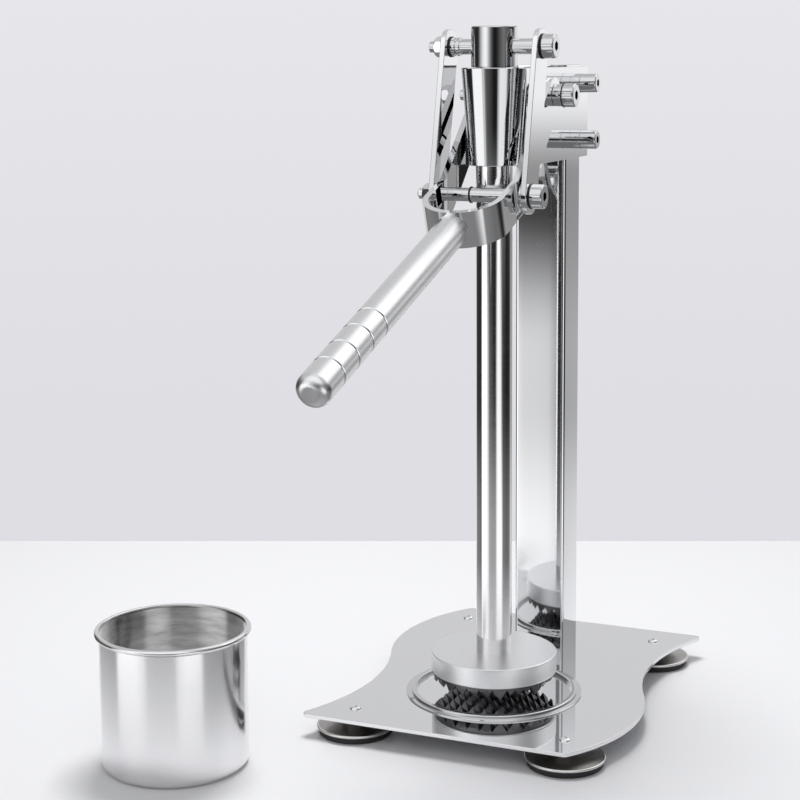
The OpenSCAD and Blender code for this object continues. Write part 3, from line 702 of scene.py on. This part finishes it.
# %% Outline of the plate
mid_y = 0.0415
joint_x = -0.0924
hollow_r = 0.169
bulge_r = 0.131
swing = 0.0219
corner_r = 0.004
tip_y = -0.096 + corner_r
heel_y = 0.179 - corner_r
hollow_centre = (joint_x - hollow_r, -0.014)
arc_sum = hollow_r + bulge_r
bulge_rise = math.sqrt(arc_sum ** 2 - (arc_sum - swing) ** 2)
bulge_centre = (joint_x - swing + bulge_r, hollow_centre[1] + bulge_rise)
tip_reach = math.sqrt((hollow_r + corner_r) ** 2 - (tip_y - hollow_centre[1]) ** 2)
tip_centre = (hollow_centre[0] + tip_reach, tip_y)
heel_reach = math.sqrt((bulge_r - corner_r) ** 2 - (heel_y - bulge_centre[1]) ** 2)
heel_centre = (bulge_centre[0] - heel_reach, heel_y)


def heading(start, stop):
    return math.degrees(math.atan2(stop[1] - start[1], stop[0] - start[0]))


tip_turn = heading(hollow_centre, tip_centre)
join_turn = heading(hollow_centre, bulge_centre)
heel_turn = heading(bulge_centre, heel_centre) % 360
left_side = corner_arc(tip_centre, corner_r, 270, 180 + tip_turn, 8)
left_side += corner_arc(hollow_centre, hollow_r, tip_turn, join_turn, 60)[1:]
left_side += corner_arc(bulge_centre, bulge_r, join_turn + 180, heel_turn, 70)[1:]
left_side += corner_arc(heel_centre, corner_r, heel_turn, 90, 8)[1:]
plate_outline = left_side + [(-x, 2 * mid_y - y) for x, y in left_side]
print("plate outline:", len(plate_outline), "points")


# %% [markdown]
# A flat outline becomes a sheet by giving it a thickness. This helper is used for the plate and the links.

# %% Sheet from an outline
def sheet_piece(name, outline, low, high, place):
    work = bmesh.new()
    bottom = [work.verts.new(place(x, y, low)) for x, y in outline]
    top = [work.verts.new(place(x, y, high)) for x, y in outline]
    work.faces.new(top)
    work.faces.new(list(reversed(bottom)))
    for number in range(len(outline)):
        following = (number + 1) % len(outline)
        work.faces.new((bottom[number], bottom[following], top[following], top[number]))
    return smooth_piece(work, name)


plate_under = -0.003
sheet_edge = 0.0005
base = sheet_piece("fine_base_plate", plate_outline, plate_under, 0.0, lambda x, y, z: (x, y, z))
settle(base, [sheet_steel, edge_steel], "root", "mirror_steel", "base_plate")
round_edges(base, sheet_edge).material = 1


# %% [markdown]
# ## The seat ring
#
# A pressed ring keeps the cup in the middle. It has a rounded bead and a thin flange round it, and a small
# rivet holds it. Its section is drawn once and turned.

# %% Seat ring and rivet
bead_r = 0.0009
bead = corner_arc((0.0579, 0.0021), bead_r, 180, 90, 6) + corner_arc((0.0601, 0.0021), bead_r, 90, 0, 6)
seat_bore = (0.057, 0.0)
seat_flange = [(0.061, 0.0011), (0.0645, 0.001), (0.0648, 0.0007), (0.0648, 0.0)]
seat = turned("fine_seat_ring", [seat_bore] + bead + seat_flange + [seat_bore], sides=180)
settle(seat, [turned_steel], "root", "mirror_steel", "seat_ring")
dressed("seat_rivet", satin_steel, 0.0001, slot="satin_steel")

# %% [markdown]
# ## Feet
#
# Four round feet carry the plate: a boss, a sloping disc with a bright rim, and a rubber pad. They are all
# alike, so one foot is turned at the origin, and a Geometry Nodes tree puts a copy at each corner of a
# rectangle. The tree's inputs are the rectangle's size, so moving the feet is a matter of two numbers. The
# same tree places the pads and the screws. The nodes that give copies their finish serve the washers too.

# %% Tree: one copy at each corner
def finish_copies(tree, copies, finish):
    real = add_node(tree, "GeometryNodeRealizeInstances", {0: copies}).outputs[0]
    dress = add_node(tree, "GeometryNodeSetMaterial", {"Geometry": real, "Material": finish}).outputs[0]
    add_node(tree, "NodeGroupOutput", {"Geometry": dress})
    print(tree.name, len(tree.nodes), "nodes")


corner_tree, corner_in = new_group(
    "one_at_each_corner",
    [("Geometry", "NodeSocketGeometry", None), ("Half width", "NodeSocketFloat", 0.079),
     ("Front", "NodeSocketFloat", -0.073), ("Back", "NodeSocketFloat", 0.152),
     ("Finish", "NodeSocketMaterial", None)],
    [("Geometry", "NodeSocketGeometry")], "GeometryNodeTree")
both_y = sum_node(corner_tree, "ADD", corner_in["Back"], corner_in["Front"])
corners = add_node(corner_tree, "GeometryNodeMeshGrid", {
    "Vertices X": 2, "Vertices Y": 2,
    "Size X": sum_node(corner_tree, "MULTIPLY", corner_in["Half width"], 2.0),
    "Size Y": sum_node(corner_tree, "SUBTRACT", corner_in["Back"], corner_in["Front"])}).outputs["Mesh"]
middle = sum_node(corner_tree, "MULTIPLY", both_y, 0.5)
move = add_node(corner_tree, "ShaderNodeCombineXYZ", {"Y": middle}).outputs[0]
placed = add_node(corner_tree, "GeometryNodeTransform", {
    "Geometry": corners, "Translation": move}).outputs[0]
feet_copies = add_node(corner_tree, "GeometryNodeInstanceOnPoints", {
    "Points": placed, "Instance": corner_in["Geometry"]}).outputs[0]
finish_copies(corner_tree, feet_copies, corner_in["Finish"])


# %% [markdown]
# A tree's input is set by its identifier, which is the same whatever the input is called. When the tree has
# done its work, the result is taken as a plain mesh and the modifier is thrown away.

# %% Run a tree once and keep its result
def run_tree(piece, tree, finish):
    modifier = piece.modifiers.new("tree", "NODES")
    modifier.node_group = tree
    for item in tree.interface.items_tree:
        if item.in_out == "INPUT" and item.name == "Finish":
            modifier[item.identifier] = finish
    bpy.context.view_layer.update()
    seen = piece.evaluated_get(bpy.context.evaluated_depsgraph_get())
    result = bpy.data.meshes.new_from_object(seen)
    piece.modifiers.remove(modifier)
    old = piece.data
    piece.data = result
    bpy.data.meshes.remove(old)
    return piece


def all_four(name):
    return [name + "_" + str(number) for number in (1, 2, 3, 4)]


# %% Feet, pads and screws
foot_r = 0.0280
foot_under = -0.0125
pad_under = -0.0170
rim_centre = (0.0270, -0.0115)
rim_width = 0.0010
rim_skin = 0.00006
foot_outline = [
    (0.0, plate_under), (0.0094, plate_under), (0.010, -0.0036), (0.010, -0.0062), (0.0103, -0.0066),
    (0.0118, -0.0070), (0.0150, -0.0080), (0.0262, -0.0104)]
foot_outline += corner_arc(rim_centre, rim_width, 100, 0, 5)
foot_outline += [(foot_r, -0.0121), (foot_r - 0.0004, foot_under), (0.0, foot_under)]
feet = run_tree(turned("fine_feet", foot_outline, sides=96), corner_tree, nickel)
keep(feet, "root", "nickel", *all_four("foot"))

rim_outline = corner_arc(rim_centre, rim_width + rim_skin, 140, -40, 8)
rim_outline += [(0.0266, -0.0121), (0.0262, -0.0108), rim_outline[0]]
rim = run_tree(turned("foot_rims", rim_outline, sides=96), corner_tree, nickel_rim)
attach(rim, "root")

pad_outline = [
    (0.0, foot_under), (0.0265, foot_under), (0.0265, -0.0160), (0.0262, -0.0165), (0.0255, pad_under),
    (0.0, pad_under)]
pads = run_tree(turned("fine_foot_pads", pad_outline, sides=72), corner_tree, black_rubber)
keep(pads, "root", "rubber", *all_four("foot_pad"))

screw_outline = [
    (0.0, 0.0008), (0.0013, 0.0008), (0.0013, 0.0017), (0.0015, 0.0018), (0.0021, 0.0018), (0.0028, 0.0016),
    (0.0034, 0.0012), (0.0038, 0.0007), (0.0040, 0.0002), (0.0040, 0.0), (0.0, 0.0)]
screws = run_tree(turned("fine_foot_screws", screw_outline, sides=36), corner_tree, mirror_steel)
keep(screws, "root", "mirror_steel", *all_four("foot_screw"))

# %% [markdown]
# ## Column and head
#
# The column is square tube, closed by a plate. Two side plates clamp it, hold the sleeve between their
# front ends and carry the lever's fulcrum bolt. Their shapes are right in the measured model, so they are
# dressed copies with narrow, brighter edges. All the bolts lie along X, so a pair of numbers, along Y and Z,
# says where each one is. The washers and links further on use the same pairs.

# %% Column and head plates
upper_clamp = (0.108, 0.4437)
lower_clamp = (0.108, 0.4013)
fulcrum_place = (0.0485, 0.4360)
top_place = (0.0, 0.4711)
low_place = (-0.023, 0.3683)

dressed("column", sheet_steel, 0.0004, edge_steel)
dressed("column_cap", mirror_steel, 0.0003, edge_steel)
for node in ("head_plate_left", "head_plate_right"):
    dressed(node, sheet_steel, 0.0004, edge_steel)
dressed("saddle", satin_steel, 0.0002, slot="satin_steel")
for node in ("clamp_collar_upper", "clamp_collar_lower", "fulcrum_collar_left", "fulcrum_collar_right"):
    dressed(node, turned_steel, 0.0004)
bolt_sockets = {
    "clamp_bolt_upper": (upper_clamp, 0.0430, 0.0030), "clamp_bolt_lower": (lower_clamp, 0.0430, 0.0030),
    "fulcrum_bolt": (fulcrum_place, 0.0452, 0.0036)}
for node, socket in bolt_sockets.items():
    dressed(node, turned_steel, 0.0003, socket=socket)
for node in ("clamp_nut_upper", "clamp_nut_lower", "fulcrum_nut"):
    dressed(node, mirror_steel, 0.0002)

# %% [markdown]
# ## Sleeve, rod and cap
#
# The sleeve tapers to its foot, and the rod slides in it through a black bush. The cap on top of the rod
# comes down on the sleeve. These three carry the boldest stripes of the whole press, so they are turned
# afresh with many sides.

# %% Turned pieces on the rod's axis
sleeve_foot = 0.3879
sleeve_top = 0.4565
bush_top = 0.4563
bore_r = 0.0150
fit = 0.00002
rod_r = 0.013
bush_r = rod_r + 0.00008
stub_r = 0.006
rod_foot = 0.0253
press_top = 0.0313
rod_top = 0.4568
cap_r = 0.0164
cap_top = 0.4854
sleeve_outline = [
    (bore_r, sleeve_foot), (0.0176, sleeve_foot), (0.0180, sleeve_foot + 0.0004),
    (0.02325, sleeve_top - 0.0006), (0.0227, sleeve_top), (0.0154, sleeve_top),
    (bore_r, sleeve_top - 0.0004), (bore_r, sleeve_foot)]
sleeve = turned("fine_sleeve", sleeve_outline, sides=192)
settle(sleeve, [turned_steel], "root", "mirror_steel", "sleeve")
bush_outline = [
    (bush_r, sleeve_foot), (bore_r - fit, sleeve_foot), (bore_r - fit, bush_top), (bush_r, bush_top),
    (bush_r, sleeve_foot)]
bush = turned("fine_guide_bush", bush_outline, sides=96)
settle(bush, [black_nylon], "root", "nylon", "guide_bush")

rod_outline = [
    (0.0, rod_foot), (stub_r, rod_foot), (stub_r, press_top), (rod_r, press_top), (rod_r, rod_top),
    (0.0, rod_top)]
rod = turned("fine_rod", rod_outline, sides=192)
settle(rod, [rod_steel], "rod", "rod_steel", "rod")
cap_outline = [
    (0.0, rod_top), (cap_r - 0.0004, rod_top), (cap_r, rod_top + 0.0004), (cap_r, cap_top - 0.0008),
    (cap_r - 0.0002, cap_top - 0.0003), (cap_r - 0.0007, cap_top), (0.0, cap_top)]
cap = turned("fine_cap", cap_outline, sides=160)
settle(cap, [turned_steel], "rod", "mirror_steel", "cap")

# %% [markdown]
# ## Press plate and crusher
#
# The press plate is a thick aluminium disc with a satin turned face. Under it the crusher has rows of
# four-sided points.

# %% Press plate and crusher
press_r = 0.0460
press_foot = 0.0170
press_edge = 0.0008
press_outline = [
    (0.0, press_foot), (press_r - press_edge, press_foot), (press_r - 0.0002, press_foot + 0.0003),
    (press_r, press_foot + 0.0009), (press_r, 0.0303)]
press_outline += corner_arc((press_r - press_edge, press_top - press_edge), press_edge, 0, 90, 4)[1:]
press_outline += [(0.0, press_top)]
press = turned("fine_press_plate", press_outline, sides=180)
settle(press, [plate_aluminium], "rod", "satin_aluminium", "press_plate")
dressed("crusher", crusher_shaded_steel, 0.00025, body="rod", slot="satin_steel", sharp=20)

# %% [markdown]
# ## Lever
#
# One bar is bent to a fork round the rod. Its arms reach back to the fulcrum and its bend carries the
# handle. The mirror finish makes the bend show the softboxes as bold bands.

# %% Yoke, cross bar and screws
dressed("yoke", mirror_steel, 0.0005, edge_steel, body="lever")
dressed("cross_bar", turned_steel, 0.0003, body="lever")
dressed("cross_bar_ring", black_nylon, 0.0002, body="lever", slot="nylon")
dressed("lower_collars", turned_steel, 0.0004, body="lever")
dressed("handle_screw", mirror_steel, 0.0002, body="lever")

# %% [markdown]
# ## Handle
#
# The handle is a satin aluminium bar with four bright grooves for grip and a domed end. It is drawn along
# its own axis and then laid along the slope of the lever. The groove floors are brighter, so they get their
# own finish. A narrow neck parts the handle from the yoke, and it is painted near-black, as painted shade in
# the gap. The bar and its end meet in the last groove.

# %% Outline of the handle
bright_cut = metal("bright_cut", (0.93, 0.935, 0.94), 0.12, lines="handle", line_depth=2e-6,
                   line_count=5000, tint=0.04)
handle_r = 0.01125
gap_foot = 0.0268
gap_end = 0.0278
gap_r = handle_r - 0.0007
end_length = 0.025
end_top = 0.029 + 0.230
body_end = end_top - end_length
dome_r = handle_r * 0.62
groove_step = 0.0213
groove_half = 0.0011
floor_half = 0.0009
groove_r = handle_r - 0.0006
lip = 0.0002
below_skin = 0.00008


def groove_side(middle, way):
    side = [(handle_r, middle + way * (groove_half + lip)), (handle_r - lip, middle + way * groove_half),
            (groove_r, middle + way * floor_half)]
    return side if way < 0 else side[::-1]


handle_outline = [(0.0, gap_foot), (gap_r, gap_foot), (gap_r, gap_end), (handle_r, gap_end)]
for number in (3, 2, 1):
    for way in (-1, 1):
        handle_outline += groove_side(body_end - number * groove_step, way)
handle_outline += groove_side(body_end, -1) + [(groove_r, body_end), (0.0, body_end)]
end_outline = [(0.0, body_end), (groove_r, body_end)] + groove_side(body_end, 1)
end_outline += corner_arc((handle_r - dome_r, end_top - dome_r), dome_r, 0, 90, 14) + [(0.0, end_top)]


# %% Handle
def groove_faces(centre, normal):
    # Faces of the neck at the handle's foot get the near-black colour, as painted shade in the gap at the
    # yoke.
    if centre.z < gap_end:
        return 2
    return 1 if math.hypot(centre.x, centre.y) < handle_r - below_skin and centre.z > gap_end + lip else 0


def end_faces(centre, normal):
    return groove_faces(centre, normal) if centre.z < body_end + groove_half + lip / 2 else 0


bend_reach = 0.033
lower_pin = Vector((0.0, *low_place))
lever_tilt = Matrix.Rotation(handle_slope, 4, "X")
bend_centre = Matrix.Translation(lower_pin) @ lever_tilt @ Matrix.Translation(Vector((0, -bend_reach, 0)))
handle_aim = bend_centre @ Matrix.Rotation(math.radians(90), 4, "X")
handle = turned("fine_handle", handle_outline, aim=handle_aim, face_finish=groove_faces)
settle(handle, [handle_aluminium, bright_cut, recess_shade], "lever", "satin_aluminium", "handle")
handle_end = turned("fine_handle_end", end_outline, aim=handle_aim, face_finish=end_faces)
settle(handle_end, [handle_aluminium, bright_cut], "lever", "satin_aluminium", "handle_end")


# %% [markdown]
# ## Links
#
# Two flat links join the cap's pin to the lever's lower pin. A link is a bar with round ends, so its outline
# is two half circles joined by straight sides. It is drawn from the two pins. One link stands on each side.

# %% Links
link_r = 0.0125
link_inner = 0.0322
link_outer = 0.0362
link_lean = heading(low_place, top_place)
link_outline = corner_arc(top_place, link_r, link_lean - 90, link_lean + 90, 40)
link_outline += corner_arc(low_place, link_r, link_lean + 90, link_lean + 270, 40)
for node, inner, outer in (("link_left", -link_outer, -link_inner), ("link_right", link_inner, link_outer)):
    link = sheet_piece("fine_" + node, link_outline, inner, outer, lambda y, z, x: (x, y, z))
    settle(link, [mirror_steel, edge_steel], "links", "mirror_steel", node)
    round_edges(link, sheet_edge).material = 1
dressed("link_bolt", turned_steel, 0.0003, body="links", socket=(low_place, 0.0458, 0.0036))
dressed("link_nut", mirror_steel, 0.0002, body="links")
dressed("top_pin", turned_steel, 0.0003, body="rod", socket=(top_place, 0.0460, 0.0036))
dressed("top_nut", mirror_steel, 0.0002, body="rod")
dressed("top_spacers", turned_steel, 0.0003, body="rod")

# %% [markdown]
# ## Black washers
#
# Thin black washers part the steel faces on every pin. They differ only in place, width and thickness, so
# each body gets one list of points. Every point carries its washer's sizes as attributes, and a tree turns
# the points into washers: a disc with a bore cut out of it, laid on its side along the pin and stretched to
# the sizes that the point carries.

# %% Tree: a washer on each point
washer_tree, washer_in = new_group(
    "washers_on_points",
    [("Geometry", "NodeSocketGeometry", None), ("Sides", "NodeSocketInt", 64),
     ("Bore share", "NodeSocketFloat", 0.46), ("Finish", "NodeSocketMaterial", None)],
    [("Geometry", "NodeSocketGeometry")], "GeometryNodeTree")


def carried(label):
    named = add_node(washer_tree, "GeometryNodeInputNamedAttribute", {"Name": label}, data_type="FLOAT")
    return named.outputs["Attribute"]


disc = add_node(washer_tree, "GeometryNodeMeshCylinder", {
    "Vertices": washer_in["Sides"], "Radius": 1.0, "Depth": 1.0}).outputs["Mesh"]
bore = add_node(washer_tree, "GeometryNodeMeshCylinder", {
    "Vertices": washer_in["Sides"], "Radius": washer_in["Bore share"], "Depth": 2.0}).outputs["Mesh"]
washer = add_node(washer_tree, "GeometryNodeMeshBoolean", {"Mesh 1": disc, "Mesh 2": bore},
                  operation="DIFFERENCE", solver="EXACT").outputs["Mesh"]
sizes = add_node(washer_tree, "ShaderNodeCombineXYZ", {
    "X": carried("outer"), "Y": carried("outer"), "Z": carried("thick")}).outputs[0]
on_pins = add_node(washer_tree, "GeometryNodeInstanceOnPoints", {
    "Points": washer_in["Geometry"], "Instance": washer, "Rotation": (0, math.pi / 2, 0), "Scale": sizes})
finish_copies(washer_tree, on_pins.outputs[0], washer_in["Finish"])


# %% Washers of each body
def both_sides(inner, outer, radius):
    return [(inner, outer, radius), (-outer, -inner, radius)]


def washers(name, pin, stacks, body, node):
    mesh = bpy.data.meshes.new(name)
    mesh.from_pydata([((low + high) / 2, *pin) for low, high, outer in stacks], [], [])
    radii = mesh.attributes.new("outer", "FLOAT", "POINT")
    thicknesses = mesh.attributes.new("thick", "FLOAT", "POINT")
    for number, (low, high, outer) in enumerate(stacks):
        radii.data[number].value = outer
        thicknesses.data[number].value = high - low
    piece = run_tree(put(name, mesh), washer_tree, black_nylon)
    round_edges(piece, 0.00015)
    keep(piece, body, "nylon", node)


wide_washer = 0.0088
spacer_washers = both_sides(0.0312, 0.0320, 0.0073)
washers("fine_fulcrum_washers", fulcrum_place,
        [(0.0356, 0.0364, wide_washer)] + both_sides(0.0230, 0.0245, 0.0080), "root", "fulcrum_washers")
washers("fine_lower_washers", low_place, both_sides(0.0312, 0.0320, wide_washer), "lever", "lower_washers")
washers("fine_link_washers", low_place, both_sides(0.0362, 0.0370, wide_washer), "links", "link_washers")
washers("fine_top_washers", top_place, spacer_washers + both_sides(0.0364, 0.0372, wide_washer),
        "rod", "top_washers")

# %% [markdown]
# ## The cup
#
# The cup is spun from thin sheet: a flat floor, a rounded foot, a straight wall and a rim rolled over to
# the outside. Outside it is satin. Inside, the lathe's lines run round it and break up the stripes, so the
# inner faces get a second material. Its colour is painted darker, as painted shade inside the cup, and its
# dark and light lines are partly brushing and partly painted streaks of reflection. The cup is left out of
# the other pieces' reflections, and of its own, so that the stripes of the studio reach its inside.

# %% Cup
cup_r = 0.0505
wall = 0.0010
cup_foot = floor_z
cup_top = 0.080
floor_r = 0.040
foot_round = 0.006
rim_r = 0.002
round_centre = (cup_r - foot_round, cup_foot + foot_round)
rim_middle = (cup_r - wall + rim_r, cup_top - rim_r)
cup_outline = [(0.0, cup_foot), (floor_r, cup_foot)]
cup_outline += corner_arc(round_centre, foot_round, -90, 0, 12)
cup_outline += [(cup_r, cup_foot + 0.03), (cup_r, cup_foot + 0.06), (cup_r, cup_top - 2 * rim_r)]
cup_outline += corner_arc(rim_middle, rim_r, -120, 180, 24)
cup_outline += [(cup_r - wall, 0.060), (cup_r - wall, 0.030), (cup_r - wall, cup_foot + foot_round)]
cup_outline += corner_arc(round_centre, foot_round - wall, 0, -90, 10)[1:]
cup_outline += [(floor_r, cup_foot + wall), (0.0, cup_foot + wall)]


def inner_faces(centre, normal):
    outward = Vector((centre.x, centre.y, 0)).normalized()
    within = math.hypot(centre.x, centre.y) < cup_r - wall * 0.4
    between = cup_foot + wall * 0.6 < centre.z < cup_top - 0.0005
    faces_in = normal.dot(outward) < 0.3 or normal.z > 0.5
    return 1 if within and between and faces_in else 0


cup = turned("fine_cup", cup_outline, centre=(*cup_axis, 0), sides=192, sharp=40, face_finish=inner_faces)
settle(cup, [cup_outside, cup_inside], "cup", "cup_steel", "cup")
cup.visible_glossy = False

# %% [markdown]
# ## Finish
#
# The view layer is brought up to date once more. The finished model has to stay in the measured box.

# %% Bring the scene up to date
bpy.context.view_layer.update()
